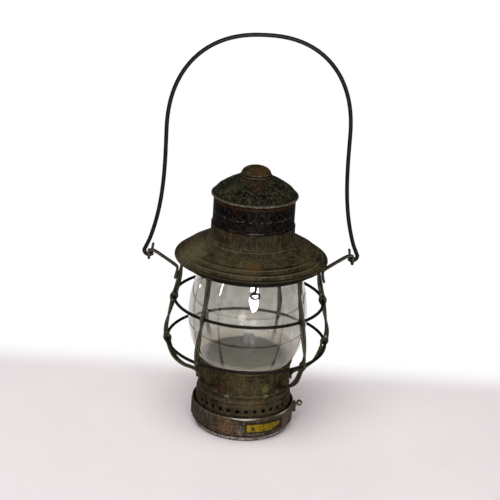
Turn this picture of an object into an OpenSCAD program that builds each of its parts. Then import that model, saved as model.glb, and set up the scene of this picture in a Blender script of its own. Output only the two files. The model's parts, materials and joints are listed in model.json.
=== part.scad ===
// Railroad hand lantern with a clear globe in a wire guard, a hinged hood and a swinging bail.
// Millimetres. Z is up, the front (latch side) faces -Y, and the origin is the centre of the foot.

/* [Font and foot] */
// Outer radius of the base band
band_r = 49.1; // [47.5:0.1:52]
// Height of the top edge of the base band
band_top = 24.3; // [20:0.1:26]
// Sheet thickness of the base band
band_t = 0.8; // [0.6:0.1:1.2]
// How far the folded foot seam's middle lies inside the band
foot_inset = 4.7; // [3.5:0.1:6]
// Height of the folded foot seam
foot_h = 5.2; // [4:0.1:6]
// Gap between the oil pot and the globe's fitter
pot_gap = 2.7; // [2.4:0.1:6]
// Height of the top edge of the oil pot
pot_top = 71; // [66:0.5:76]
// Sheet thickness of the oil pot
pot_t = 0.9; // [0.6:0.1:1.4]
// Rise of the pot's dome above its seam
dome_rise = 7.5; // [4:0.5:10]
// Outer radius of the burner collar on the dome
burner_r = 12; // [10:0.5:14]
// Outer radius of the wick tube
wick_tube_r = 3.4; // [3:0.1:4.5]
// Height of the wick tube above the burner cap
wick_tube_h = 7.5; // [7:0.5:9]
// Pitch radius of the wick wheel
wheel_r = 2.5; // [2.2:0.1:2.8]
// Height of the plain label plate
label_h = 8.6; // [6:0.1:11]
// Angle that the label plate covers
label_angle = 43; // [20:1:60]
// Diameter of the lock pin
lock_pin_d = 2.4; // [1.6:0.1:3]
// Upward tilt of the lock pin
lock_tilt = 35; // [20:1:45]

/* [Collar] */
// Step in radius from the skirt to the collar wall
skirt_step = 1.5; // [1:0.1:2.5]
// Height of the middle of the collar's top bead
collar_top = 68.6; // [66:0.1:72]
// Sheet thickness of the collar
collar_t = 0.9; // [0.6:0.1:1.2]
// Gap between the collar's lower skirt and the base band
skirt_gap = 2.8; // [2.4:0.1:3.4]
// Height of the crease in the collar above the base band
crease_rise = 1.2; // [1:0.1:3]
// Number of draft holes round the collar
vent_count = 34; // [16:1:36]
// Diameter of a draft hole
vent_d = 4.3; // [2.5:0.1:4.6]
// Height of the row of draft holes above the crease
vent_rise = 5.3; // [4.6:0.1:6.5]
// Depth of the ledge that the globe stands on, below the collar's top
ledge_depth = 16.9; // [14:0.1:19]

/* [Globe] */
// Outer radius of the globe at its widest
globe_r = 56.6; // [54:0.1:60]
// Gap between the globe's lower fitter and the collar
fitter_gap = 2.6; // [2:0.1:3.4]
// Outer radius of the globe's top rim
globe_top_r = 41.8; // [40:0.1:43]
// Height of the globe
globe_h = 131; // [128:0.5:133]
// Thickness of the glass
glass_t = 2.4; // [1.8:0.1:2.8]

/* [Guard] */
// Diameter of the wire of the guard rings
ring_wire = 2.9; // [2:0.1:3.2]
// Diameter of each strand of the paired uprights
strand_d = 2.5; // [1.8:0.1:2.6]
// Radius of the upper guard ring
ring_a_r = 70.9; // [69:0.1:72]
// Height of the upper guard ring
ring_a_z = 128.7; // [124:0.1:132]
// Radius of the lower guard ring
ring_b_r = 75.7; // [74:0.1:77]
// Height of the lower guard ring
ring_b_z = 85.9; // [82:0.1:92]
// How far the hidden top ring lies inside the brim's edge
ring_inset = 10.1; // [9.8:0.1:12]
// How far the hidden top ring lies below the brim's lip
ring_drop = 5.6; // [5:0.1:7]
// Angle of the front uprights from the front
front_angle = 40; // [34:1:46]
// Angle of the rear uprights from the front
rear_angle = 150; // [140:1:160]

/* [Hood] */
// Radius of the brim's outer edge
brim_r = 72.1; // [71:0.1:74]
// How far the brim's rolled lip hangs below the globe's top
lip_drop = 11.4; // [9:0.1:13]
// Rise of the brim from its lip to the neck
brim_rise = 17.8; // [17:0.1:21]
// Sheet thickness of the hood
hood_t = 0.9; // [0.6:0.1:1.2]
// Outer radius of the perforated neck
neck_r = 38.2; // [37.6:0.1:38.6]
// Height of the plain lower band
lower_band_h = 15.6; // [12:0.1:17]
// Height of the perforated neck above the plain band
neck_h = 26.6; // [22:0.1:31]
// Number of holes in each row of the neck
neck_holes = 28; // [12:1:36]
// Diameter of a hole in the neck
neck_hole_d = 2.4; // [1.6:0.1:3]
// Outer radius of the cap's rolled rim
cap_r = 40.6; // [39.6:0.1:42]
// Rise of the cap above the neck
cap_rise = 18.6; // [14:0.1:22]
// Radius of the button on the cap
button_r = 14.1; // [11:0.1:15]
// Rise of the button above the cap
button_rise = 9.6; // [7:0.1:11]
// Diameter of the hinge pin
hinge_pin_d = 2.2; // [1.8:0.1:2.6]
// Diameter of the latch wire
latch_wire = 2.2; // [1.6:0.1:2.4]

/* [Bail] */
// Diameter of the bail wire
bail_wire = 3.8; // [3:0.1:4]
// Half width of the bail at its shoulder
bail_half = 84; // [82:0.5:88]
// Height of the bail's shoulder above the axis that it swings on
bail_leg = 120; // [100:1:140]
// Height of the wire's middle at the top of the bail above that axis
bail_rise = 211.5; // [190:0.5:230]
// Height of that axis above the hidden top ring
pivot_rise = 4; // [3:0.1:6]
// Distance of each eye outside the brim's edge
eye_out = 23.9; // [22:0.1:27]
// Radius of the hook at the wire's middle
hook_r = 4.4; // [4.2:0.1:5]

/* [Fits] */
// Gap between parts that are soldered or seated
seat_gap = 0.25; // [0.15:0.05:0.3]
// Gap between the glass and the sheet metal above and below it
glass_gap = 0.3; // [0.2:0.05:0.5]
// Radial clearance of a pin that turns or slides
run_gap = 0.05; // [0.02:0.01:0.1]

/* [Hidden] */
$fn = 96;

olive = [0.33, 0.29, 0.18];
dark_iron = [0.13, 0.12, 0.11];
rust_brown = [0.42, 0.26, 0.12];
brass_tone = [0.62, 0.47, 0.24];

// Radii that nest from the base band inwards
foot_r = band_r - foot_inset;
skirt_r = band_r - band_t - skirt_gap;
collar_r = skirt_r - skirt_step;
fitter_r = collar_r - collar_t - fitter_gap;
pot_r = fitter_r - glass_t - pot_gap;

// Heights that stack from the collar up to the bail
crease_z = band_top + crease_rise;
vent_z = crease_z + vent_rise;
rib_z = crease_z + 19.1;
seat_z = collar_top - ledge_depth;
globe_top = seat_z + glass_gap + globe_h;
lip_z = globe_top - lip_drop;
brim_top = lip_z + brim_rise;
lower_band_top = brim_top + lower_band_h;
neck_top = lower_band_top + neck_h;
ring_top_r = brim_r - ring_inset;
ring_top_z = lip_z - ring_drop;
pivot_z = ring_top_z + pivot_rise;
eye_x = brim_r + eye_out;
bail_shoulder = pivot_z + bail_leg;
bail_top = pivot_z + bail_rise;
bail_flare = eye_x - bail_half;

// Stack of heights in the font
foot_floor = foot_h / 2;
pot_floor = foot_floor + band_t + seat_gap;
flange_z = 10.9;
flange_t = 0.8;
flange_r = skirt_r + 1;
skirt_bottom = flange_z + flange_t + 0.3;
dome_z = pot_top + seat_gap;
dome_top = dome_z + dome_rise;
neck_collar_h = 2.6;
burner_z = dome_top + neck_collar_h + seat_gap;
cap_plate_t = 1.2;
wick_gap = 0.3;
wick_r = wick_tube_r - 0.7 - wick_gap;
wick_top = burner_z + cap_plate_t + wick_tube_h + 1.7;
knob_r = 3;
wheel_z = burner_z + cap_plate_t + knob_r + 0.4;
wheel_x = wick_r + wick_gap + wheel_r + 0.5;
wheel_width = 1.6;
shaft_r = 0.8;
post_y = 4.2;
post_t = 1.4;

// Hinge, latch and lock places
hinge_y = brim_r + 0.5;
hinge_z = ring_top_z + 0.5;
knuckle_r = hinge_pin_d / 2 + 1.3;
knuckle_half = 5.7;
bracket_half = 12;
latch_y = -(brim_r - 5.6);
latch_z = lip_z - 1.2;
latch_axle_d = 2.2;
loop_drop = 12.8;
loop_half_w = 3.7;
loop_half_h = 2.5;
cheek_x = 3.4;
cheek_t = 1;
lock_z = 15.5;
lug_out = 3.4;
ball_r = 3;
lock_bore_l = 20;

// Vector and path helpers
function unit(v) = v / norm(v);
function reverse(p) = [for (i = [len(p) - 1:-1:0]) p[i]];
function at(p, i) = p[min(max(i, 0), len(p) - 1)];
function catmull(a, b, c, d, t) =
  ((-t + 2 * t * t - t * t * t) * a + (2 - 5 * t * t + 3 * t * t * t) * b
   + (t + 4 * t * t - 3 * t * t * t) * c + (t * t * t - t * t) * d) / 2;
function spline(p, steps) = concat(
  [for (i = [0:len(p) - 2]) for (k = [0:steps - 1])
    catmull(at(p, i - 1), p[i], p[i + 1], at(p, i + 2), k / steps)],
  [p[len(p) - 1]]);

// Points moved to the left of a flat path's direction, by the wall thickness
function inset(p, t) = [for (i = [0:len(p) - 1])
  let (d = unit(at(p, i + 1) - at(p, i - 1))) p[i] + t * [-d.y, d.x]];

// Sheet metal profile: an outer line and the same line one thickness inside
module sheet(p, t) {
  polygon(concat(p, reverse(inset(p, t))));
}

// Frame vectors carried along a path without twist
function carried(tan, start) =
  [for (i = 0, u = start; i < len(tan);
    u = i + 1 < len(tan) ? unit(u - (u * tan[i + 1]) * tan[i + 1]) : u, i = i + 1) u];

// Round wire along a path in space
module wire(path, d, sides = 8) {
  n = len(path);
  tan = [for (i = [0:n - 1]) unit(at(path, i + 1) - at(path, i - 1))];
  guess = abs(tan[0].y) < 0.9 ? [0, 1, 0] : [1, 0, 0];
  ups = carried(tan, unit(cross(tan[0], guess)));
  ring_points = [for (i = [0:n - 1]) for (k = [0:sides - 1])
    path[i] + d / 2 * (cos(360 * k / sides) * ups[i] + sin(360 * k / sides) * cross(tan[i], ups[i]))];
  walls = [for (i = [0:n - 2]) for (k = [0:sides - 1])
    let (a = i * sides + k, b = i * sides + (k + 1) % sides)
    each [[a, a + sides, b + sides], [a, b + sides, b]]];
  first_cap = [for (k = [1:sides - 2]) [0, k, k + 1]];
  last = (n - 1) * sides;
  last_cap = [for (k = [1:sides - 2]) [last, last + k + 1, last + k]];
  polyhedron(ring_points, concat(walls, first_cap, last_cap), convexity = 6);
}

module torus(r, z, d) {
  rotate_extrude() translate([r, z]) circle(d = d, $fn = 32);
}

// Collar

collar_wall = [[skirt_r, skirt_bottom], [skirt_r, crease_z], [skirt_r + 0.7, crease_z + 1.1],
  [skirt_r + 0.6, crease_z + 2.5], [skirt_r + 0.2, crease_z + 10], [collar_r + 0.9, crease_z + 13.1],
  [collar_r + 0.2, crease_z + 15.1], [collar_r, crease_z + 17], [collar_r, collar_top]];
bead_r = 1.3;
rib_r = 0.6;
ledge_t = 0.9;
ledge_gap = 1.1;

module base_collar() {
  color(olive)
  difference() {
    rotate_extrude() {
      sheet(collar_wall, collar_t);
      translate([collar_r + bead_r - collar_t, collar_top]) circle(r = bead_r, $fn = 32);
      translate([collar_r - 0.1, rib_z]) circle(r = rib_r, $fn = 24);
      translate([pot_r + ledge_gap, seat_z - ledge_t])
        square([collar_r - collar_t / 2 - pot_r - ledge_gap, ledge_t]);
    }
    for (i = [0:vent_count - 1])
      rotate([0, 0, (i + 0.5) * 360 / vent_count])
      translate([collar_r - 5, 0, vent_z])
      rotate([0, 90, 0])
      cylinder(d = vent_d, h = 10, $fn = 32);
  }
}

// Globe

globe_line = [[fitter_r, 0], [fitter_r, 0.09], [fitter_r + 1.7, 0.125], [0.84 * globe_r, 0.176],
  [0.927 * globe_r, 0.262], [0.985 * globe_r, 0.37], [globe_r, 0.47], [0.982 * globe_r, 0.585],
  [0.925 * globe_r, 0.7], [0.84 * globe_r, 0.805], [globe_top_r + 1.2, 0.888], [globe_top_r, 0.94],
  [globe_top_r, 1]];

module glass_globe() {
  outer = spline([for (p = globe_line) [p.x, globe_top - globe_h + p.y * globe_h]], 3);
  color([0.85, 0.9, 0.9, 0.4])
  rotate_extrude()
  sheet(outer, glass_t);
}

// Guard

module guard_top_ring() {
  color(dark_iron) torus(ring_top_r, ring_top_z, ring_wire);
}

module guard_upper_ring() {
  color(dark_iron) torus(ring_a_r, ring_a_z, ring_wire);
}

module guard_lower_ring() {
  color(dark_iron) torus(ring_b_r, ring_b_z, ring_wire);
}

// Middle line of an upright pair, from the top ring down to its foot on the collar
upright_top_r = ring_top_r + (ring_wire + strand_d) / 2 + seat_gap;
upright_foot_r = collar_r + strand_d / 2 + seat_gap;
foot_bend = [upright_foot_r + 4.2, rib_z + 9.6];
top_rise = ring_top_z - ring_a_z;
mid_rise = ring_a_z - ring_b_z;
low_span = [ring_b_r, ring_b_z] - foot_bend;
upright_line = [[upright_top_r, ring_top_z + 3], [upright_top_r, ring_top_z - 0.13 * top_rise],
  [upright_top_r + 1, ring_top_z - 0.38 * top_rise], [ring_a_r - 2.9, ring_a_z + 0.33 * top_rise],
  [ring_a_r, ring_a_z], [ring_b_r - 0.6, ring_a_z - 0.44 * mid_rise],
  [ring_b_r + 1.6, ring_b_z + 0.25 * mid_rise], [ring_b_r, ring_b_z],
  foot_bend + [0.76 * low_span.x, 0.45 * low_span.y], foot_bend + [0.4 * low_span.x, 0.14 * low_span.y],
  foot_bend, [upright_foot_r + 0.2, rib_z + 6], [upright_foot_r, rib_z + 1.8]];
upright_flat = spline(upright_line, 3);
strand_gap = 0.02;
knot_width = 4.5;
quarter_turn = 90;
foot_turn_h = 22;

// Half turns of the pair: side by side at both ends and between the rings, in and out at the rings
function pair_turn(z) =
  z > ring_a_z ? -quarter_turn * (z - ring_a_z) / top_rise
  : z > ring_b_z ? 2 * quarter_turn * (ring_a_z - z) / mid_rise
  : quarter_turn * (2 + min(1, (ring_b_z - z) / foot_turn_h));
function knot(z, ring_z) = exp(-pow((z - ring_z) / knot_width, 2));
function pair_half(z) =
  let (close = (strand_d + strand_gap) / 2, wide = (strand_d + ring_wire) / 2 + 0.15)
  close + (wide - close) * min(1, knot(z, ring_a_z) + knot(z, ring_b_z));

module upright(angle) {
  color(olive)
  rotate([0, 0, angle - 90])
  for (side = [0, 180])
    wire([for (i = [0:len(upright_flat) - 1])
      let (p = upright_flat[i], d = unit(at(upright_flat, i + 1) - at(upright_flat, i - 1)),
        turn = pair_turn(p.y) + side, out = pair_half(p.y) * cos(turn))
      [p.x - out * d.y, pair_half(p.y) * sin(turn), p.y + out * d.x]], strand_d, 6);
}

// Ears: one wire bent double, with an eye for the bail at the end

eye_r = 3.9;
hang_gap = 0.35;
eye_z = pivot_z + eye_r - (bail_wire + strand_d) / 2 - hang_gap;
ear_half = (strand_d + strand_gap) / 2;
ear_drop = 18.5;
upright_radii = [for (p = upright_flat) [p.y, p.x]];

// Radius at which a wire lies against the outside of an upright pair
function against_pair(z) =
  lookup(z, upright_radii) + pair_half(z) * abs(cos(pair_turn(z))) + strand_d + seat_gap;
function ear_point(share, out) =
  let (z = ring_top_z - share * ear_drop) [against_pair(z) + out, z];
ear_line = [ear_point(1, 0.1), ear_point(0.73, 0.1), ear_point(0.46, 1.2), ear_point(0.17, 5.8),
  [eye_x - 11, eye_z + 0.4], [eye_x - 4.6, eye_z + eye_r - 0.3]];
ear_end_h = 6.6;

module bail_ear(side) {
  arm = [for (p = ear_line) [p.x, ear_half, p.y]];
  eye = [for (a = [24:39:336]) [eye_x, eye_r * sin(a), eye_z + eye_r * cos(a)]];
  back = [for (p = reverse(ear_line)) [p.x, -ear_half, p.y]];
  end_x = eye_x - 3;
  end_z = eye_z + eye_r;
  color(dark_iron)
  mirror([side < 0 ? 1 : 0, 0, 0]) {
    wire(spline(concat(arm, eye, back), 3), strand_d, 6);
    wire([[end_x, 0, end_z - 0.6], [end_x, 0, end_z + 2], [end_x - 0.7, 0, end_z + ear_end_h]], strand_d, 6);
  }
}

// Hood

brim_line = [[brim_r - 0.2, lip_z + 0.4], [brim_r - 1.1, lip_z + 1.3], [brim_r - 2.4, lip_z + 1.6],
  [brim_r - 3.6, lip_z + 2.2], [brim_r - 4.6, lip_z + 3.6], [brim_r - 6.2, lip_z + 5.1],
  [brim_r - 7.4, lip_z + 5.4], [brim_r - 8.8, lip_z + 6.9], [brim_r - 11, lip_z + 8.7],
  [brim_r - 12.4, lip_z + 9], [brim_r - 14, lip_z + 10.3], [brim_r - 17.5, lip_z + 12.4],
  [neck_r + 12, brim_top - 3.1], [neck_r + 6.6, brim_top - 0.9], [neck_r + 3.8, brim_top + 0.4],
  [neck_r + 2.9, brim_top + 1.3], [neck_r + 1.8, brim_top + 2.4], [neck_r + 1.25, brim_top + 4.6],
  [neck_r + hood_t + seat_gap, lower_band_top]];
lip_bead_r = 1.25;

module hood_brim() {
  color(olive)
  rotate_extrude() {
    sheet(brim_line, hood_t);
    translate([brim_r - lip_bead_r, lip_z]) circle(r = lip_bead_r, $fn = 32);
  }
}

neck_bead_r = 0.7;
neck_seam_r = 0.45;
bead_inset = 1.2;
row_rise = [0.22, 0.63];

module vent_neck() {
  bottom = brim_top + 0.6;
  color(dark_iron)
  difference() {
    rotate_extrude() {
      translate([neck_r - hood_t, bottom]) square([hood_t, neck_top - bottom]);
      for (bead = [[lower_band_top + bead_inset, neck_seam_r], [neck_top - bead_inset, neck_bead_r]])
        translate([neck_r - 0.2, bead[0]]) circle(r = bead[1], $fn = 24);
    }
    for (row = [0, 1])
      for (i = [0:neck_holes - 1])
        rotate([0, 0, (i + row / 2) * 360 / neck_holes])
        translate([neck_r - 4, 0, lower_band_top + row_rise[row] * (neck_top - lower_band_top)])
        rotate([0, 90, 0])
        cylinder(d = neck_hole_d, h = 8, $fn = 24);
  }
}

cap_z = neck_top + seat_gap;
cap_line = [[cap_r - 0.6, cap_z + 1.6], [cap_r - 2.6, cap_z + 0.21 * cap_rise],
  [0.86 * cap_r, cap_z + 0.4 * cap_rise], [0.74 * cap_r, cap_z + 0.58 * cap_rise],
  [0.62 * cap_r, cap_z + 0.74 * cap_rise], [0.5 * cap_r, cap_z + 0.87 * cap_rise],
  [0.43 * cap_r, cap_z + 0.945 * cap_rise], [button_r + 0.4, cap_z + cap_rise], [0, cap_z + cap_rise]];
rim_bead_r = 1.05;

module hood_cap() {
  color(olive)
  rotate_extrude() {
    sheet(cap_line, hood_t);
    translate([cap_r - rim_bead_r, cap_z + rim_bead_r]) circle(r = rim_bead_r, $fn = 32);
    translate([neck_r - hood_t, cap_z]) square([cap_r - rim_bead_r - neck_r + hood_t, hood_t]);
  }
}

button_bead_r = 0.9;
button_power = 0.86;

module cap_button() {
  base = cap_z + cap_rise + seat_gap + button_bead_r;
  dome_h = button_rise - seat_gap - button_bead_r;
  dome = concat(
    [for (t = [0:9:81]) [button_r * pow(cos(t), button_power), base + dome_h * pow(sin(t), button_power)]],
    [[1, base + dome_h], [0, base + dome_h]]);
  color(rust_brown)
  rotate_extrude() {
    sheet(dome, hood_t);
    translate([button_r - 0.1, base]) circle(r = button_bead_r, $fn = 24);
  }
}

retainer_drop = 4.2;
retainer_clear = 3.2;

module globe_retainer() {
  tube_r = neck_r - hood_t - seat_gap;
  skirt_outer = globe_top_r + retainer_clear;
  base = globe_top + glass_gap;
  color(olive)
  rotate_extrude() {
    translate([tube_r - hood_t, base]) square([hood_t, brim_top + 4 - base]);
    translate([tube_r - hood_t, base]) square([skirt_outer - tube_r + hood_t, hood_t]);
    translate([skirt_outer - hood_t, base - retainer_drop]) square([hood_t, retainer_drop + hood_t]);
  }
}

// Hinge

module along_x(half) {
  translate([-half, 0, 0]) rotate([90, 0, 90]) linear_extrude(2 * half) children();
}

module hinge_bracket() {
  plate_top = ring_top_z - ring_wire / 2 - 0.2;
  plate_t = 1.2;
  arm = bracket_half - knuckle_half - 0.3;
  color(olive)
  difference() {
    union() {
      translate([-bracket_half, ring_top_r - 3, plate_top - plate_t])
        cube([2 * bracket_half, hinge_y - knuckle_r - 0.6 - ring_top_r + 3, plate_t]);
      for (x = [-bracket_half, bracket_half - arm]) {
        translate([x, ring_top_r, plate_top - plate_t]) cube([arm, hinge_y - ring_top_r, plate_t]);
        translate([x, hinge_y, hinge_z]) rotate([0, 90, 0]) cylinder(r = knuckle_r, h = arm);
      }
    }
    translate([-bracket_half - 1, hinge_y, hinge_z]) rotate([0, 90, 0])
      cylinder(d = hinge_pin_d + 2 * run_gap, h = 2 * bracket_half + 2);
  }
}

module hinge_pin() {
  head_t = 1;
  color(brass_tone)
  translate([0, hinge_y, hinge_z]) rotate([0, 90, 0]) {
    translate([0, 0, -bracket_half - 0.8]) cylinder(d = hinge_pin_d, h = 2 * bracket_half + 1.6);
    for (z = [-bracket_half - 0.2 - head_t, bracket_half + 0.2])
      translate([0, 0, z]) cylinder(d = hinge_pin_d + 1.2, h = head_t);
  }
}

// The hood's half of the hinge: a knuckle and a strip that climbs inside the lip to the brim's underside
module hinge_leaf() {
  leaf_t = 1.3;
  inner_y = brim_r - 4.3;
  top_z = lip_z + 0.9;
  flap = [[inner_y - 1.5, lip_z + 2.9], [inner_y - 7.7, lip_z + 7.1]];
  color(olive)
  difference() {
    along_x(knuckle_half) {
      translate([hinge_y, hinge_z]) circle(r = knuckle_r);
      polygon([[hinge_y - knuckle_r + 0.1, hinge_z], [hinge_y, hinge_z + knuckle_r - 0.1],
        [inner_y, hinge_z + knuckle_r + 1], [inner_y, top_z], flap[0], flap[1],
        flap[1] - [0, leaf_t], flap[0] - [0.6, leaf_t], [inner_y - leaf_t, top_z + 0.2],
        [inner_y - leaf_t, hinge_z + knuckle_r - 0.4]]);
    }
    translate([-knuckle_half - 1, hinge_y, hinge_z]) rotate([0, 90, 0])
      cylinder(d = hinge_pin_d + 2 * run_gap, h = 2 * knuckle_half + 2);
  }
}

// Latch

module latch_bracket() {
  top = latch_z + 2;
  strap_t = 0.8;
  deep = 3.2;
  color(olive)
  difference() {
    union() {
      for (x = [-cheek_x - cheek_t, cheek_x])
        translate([x, latch_y - deep / 2, latch_z - 2]) cube([cheek_t, deep, top - latch_z + 2]);
      translate([-cheek_x - cheek_t, latch_y - deep / 2, top - strap_t])
        cube([2 * (cheek_x + cheek_t), deep, strap_t]);
    }
    translate([-cheek_x - 2, latch_y, latch_z]) rotate([0, 90, 0])
      cylinder(d = latch_axle_d + 2 * run_gap, h = 2 * cheek_x + 4);
  }
}

// Thumb latch: a crosswise axle, a stem with an oval finger loop, and a nose towards the top ring
module lid_latch() {
  stem_d = latch_wire + 0.6;
  flat_half = loop_half_w - loop_half_h;
  nose_tip = -(ring_top_r + ring_wire / 2 + 0.35);
  color(dark_iron)
  translate([0, latch_y, latch_z]) {
    translate([-cheek_x - cheek_t - 1, 0, 0]) rotate([0, 90, 0])
      cylinder(d = latch_axle_d, h = 2 * (cheek_x + cheek_t + 1));
    translate([0, 0, -loop_drop + loop_half_h]) cylinder(d = stem_d, h = loop_drop - loop_half_h, $fn = 32);
    translate([0, 0, -loop_drop])
      for (side = [-1, 1]) {
        translate([side * flat_half, 0, 0]) rotate([90, 0, 0]) rotate([0, 0, -90 * side])
          rotate_extrude(angle = 180)
          translate([loop_half_h, 0]) circle(d = latch_wire, $fn = 24);
        translate([-flat_half, 0, side * loop_half_h]) rotate([0, 90, 0])
          cylinder(d = latch_wire, h = 2 * flat_half, $fn = 24);
      }
    translate([0, 0, ring_top_z - latch_z]) rotate([-90, 0, 0])
      cylinder(d = latch_wire, h = nose_tip - latch_y, $fn = 24);
  }
}

// Bail

arch_power = 2.3;
leg_bottom = pivot_z + 15;

function arch_point(t) =
  [bail_half * pow(cos(t), 2 / arch_power),
   bail_shoulder + (bail_top - bail_shoulder) * pow(sin(t), 2 / arch_power)];
function leg_point(z) =
  [bail_half + bail_flare * pow((bail_shoulder - z) / (bail_shoulder - leg_bottom), 3), z];

module bail() {
  hook = [for (a = [-130:20:10])
    [eye_x + hook_r * cos(a), pivot_z + hook_r + hook_r * sin(a)]];
  leg = [for (k = [0:6]) leg_point(leg_bottom + (bail_shoulder - leg_bottom) * k / 6)];
  arch = [for (t = [12:12:84]) arch_point(t)];
  half_line = concat(hook, leg, arch);
  left = [for (p = half_line) [-p.x, 0, p.y]];
  right = [for (p = reverse(half_line)) [p.x, 0, p.y]];
  color(dark_iron)
  wire(concat(left, [[0, 0, bail_top]], right), bail_wire, 8);
}

// Font: the twist-off oil pot with its foot and band

base_line = [[foot_r + 0.9, foot_h - 0.2], [foot_r + 1.2, foot_h + 0.4], [band_r - 0.7, foot_h + 1.1],
  [band_r, foot_h + 2.1], [band_r, band_top]];
band_edge_r = 0.6;
seam_half = 2.5;
seam_t = 0.7;
seam_inset = 2.4;

module font_base() {
  color(olive)
  difference() {
    union() {
      rotate_extrude() {
        sheet(base_line, band_t);
        translate([band_r - band_t / 2, band_top]) circle(r = band_edge_r, $fn = 24);
        translate([foot_r - 1, 0]) square([2, foot_h]);
        translate([foot_r, foot_h - 1]) circle(r = 1.3, $fn = 24);
        translate([0, foot_floor]) square([foot_r, band_t]);
      }
      // Lapped seam of the band on the left
      rotate([0, 0, 180 - seam_half])
        rotate_extrude(angle = 2 * seam_half)
        translate([band_r - 0.2, foot_h + seam_inset])
        square([seam_t + 0.2, band_top - foot_h - seam_inset - 0.4]);
    }
    lock_axis_place() cylinder(d = lock_pin_d + 0.6, h = lock_bore_l, center = true);
  }
}

module font_pot() {
  wall_line = [[pot_r, pot_floor], [pot_r, pot_top]];
  color(olive)
  rotate_extrude() {
    sheet(wall_line, pot_t);
    translate([0, pot_floor]) square([pot_r - pot_t / 2, pot_t]);
    translate([pot_r - pot_t / 2, flange_z]) square([flange_r - pot_r + pot_t / 2, flange_t]);
  }
}

dome_line = [[pot_r + 0.3, dome_z + 0.6], [pot_r - 1, dome_z + 1.6], [pot_r - 3.5, dome_z + 1.9],
  [0.72 * pot_r, dome_z + 0.52 * dome_rise], [0.66 * pot_r, dome_z + 0.62 * dome_rise],
  [0.5 * pot_r, dome_z + 0.86 * dome_rise], [burner_r + 1.5, dome_top], [burner_r, dome_top + 0.5],
  [burner_r, dome_top + neck_collar_h]];

module font_top() {
  color(olive)
  rotate_extrude() {
    sheet(dome_line, pot_t);
    translate([pot_r - 0.3, dome_z + 0.8]) circle(r = 0.8, $fn = 24);
  }
}

module burner_cap() {
  cap_outer = burner_r + seat_gap + 0.9;
  plate_z = burner_z;
  color(brass_tone)
  difference() {
    union() {
      rotate_extrude() {
        translate([wick_tube_r + 0.2, plate_z])
          square([cap_outer - wick_tube_r - 0.2, cap_plate_t]);
        translate([cap_outer - 0.9, plate_z - 2]) square([0.9, 2.1]);
        translate([cap_outer - 0.3, plate_z + cap_plate_t - 0.3]) circle(r = 0.7, $fn = 24);
      }
      for (y = [-post_y - post_t, post_y])
        translate([wheel_x - 1.8, y, plate_z + cap_plate_t - 0.1])
          cube([3.6, post_t, wheel_z + 1.8 - plate_z - cap_plate_t + 0.1]);
    }
    translate([wheel_x, 0, wheel_z]) rotate([90, 0, 0])
      cylinder(r = shaft_r + run_gap, h = 4 * post_y, center = true, $fn = 32);
  }
}

module wick_tube() {
  base = burner_z - 4;
  tube_h = burner_z + cap_plate_t + wick_tube_h - base;
  color(brass_tone)
  difference() {
    union() {
      translate([0, 0, base]) cylinder(r = wick_tube_r, h = tube_h);
      translate([0, 0, base]) cylinder(r = wick_tube_r + 1.2, h = 1.2);
    }
    translate([0, 0, base - 1]) cylinder(r = wick_r + wick_gap, h = tube_h + 2);
    // Slot that lets the wick wheel reach the wick
    translate([0.6, -wheel_width / 2 - 0.4, wheel_z - wheel_r - 0.8])
      cube([wick_tube_r + 1, wheel_width + 0.8, 2 * wheel_r + 1.6]);
  }
}

module wick_wheel() {
  teeth = 10;
  color(brass_tone)
  translate([wheel_x, 0, wheel_z]) rotate([90, 0, 0]) {
    translate([0, 0, -post_y - post_t - 2.4])
      cylinder(r = shaft_r, h = 2 * post_y + 2 * post_t + 2.8, $fn = 32);
    linear_extrude(wheel_width, center = true) {
      circle(r = wheel_r - 0.4, $fn = 40);
      for (i = [0:teeth - 1])
        rotate(i * 360 / teeth)
        polygon([[wheel_r - 0.8, -0.5], [wheel_r + 0.4, 0], [wheel_r - 0.8, 0.5]]);
    }
    translate([0, 0, -post_y - post_t - 2]) cylinder(r = knob_r, h = 1.6, $fn = 40);
  }
}

module wick() {
  color([0.8, 0.76, 0.66])
  translate([0, 0, pot_floor + 12]) cylinder(r = wick_r, h = wick_top - pot_floor - 12, $fn = 40);
}

label_start = 1;
label_z = foot_h + 5.7;

module label_plate() {
  plate_t = 0.5;
  color([0.72, 0.62, 0.12])
  rotate([0, 0, label_start - 90])
    rotate_extrude(angle = label_angle)
    translate([band_r + 0.15, label_z]) square([plate_t, label_h]);
}

// The lock pin's own line: it leaves the band on the right and points up and out
module lock_axis_place() {
  translate([band_r + 1.7, 0, lock_z]) rotate([0, 90 - lock_tilt, 0]) children();
}

module lock_lug() {
  wide = 6;
  tall = 9;
  color(olive)
  difference() {
    translate([band_r - 1, -wide / 2, lock_z - tall / 2]) cube([lug_out + 1, wide, tall]);
    cylinder(r = band_r + 0.15, h = band_top * 2);
    lock_axis_place() cylinder(d = lock_pin_d + 2 * run_gap, h = lock_bore_l, center = true);
  }
}

module lock_pin() {
  nose = 4.7;
  reach = 6.4;
  color(brass_tone)
  lock_axis_place() {
    translate([0, 0, -nose]) cylinder(d = lock_pin_d, h = nose + reach);
    translate([0, 0, reach]) sphere(r = ball_r, $fn = 48);
    translate([0, 0, reach - ball_r]) cylinder(d = lock_pin_d + 0.8, h = 1.2);
  }
}

base_collar();
glass_globe();
guard_top_ring();
guard_upper_ring();
guard_lower_ring();
upright(-front_angle);  // guard_front_left
upright(front_angle);  // guard_front_right
upright(-90);  // guard_side_left
upright(90);  // guard_side_right
upright(-rear_angle);  // guard_rear_left
upright(rear_angle);  // guard_rear_right
bail_ear(-1);  // bail_ear_left
bail_ear(1);  // bail_ear_right
hinge_bracket();
hinge_pin();
hood_brim();
vent_neck();
hood_cap();
cap_button();
globe_retainer();
hinge_leaf();
latch_bracket();
lid_latch();
bail();
font_base();
font_pot();
font_top();
burner_cap();
wick_tube();
label_plate();
lock_lug();
lock_pin();
wick_wheel();
wick();
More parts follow.
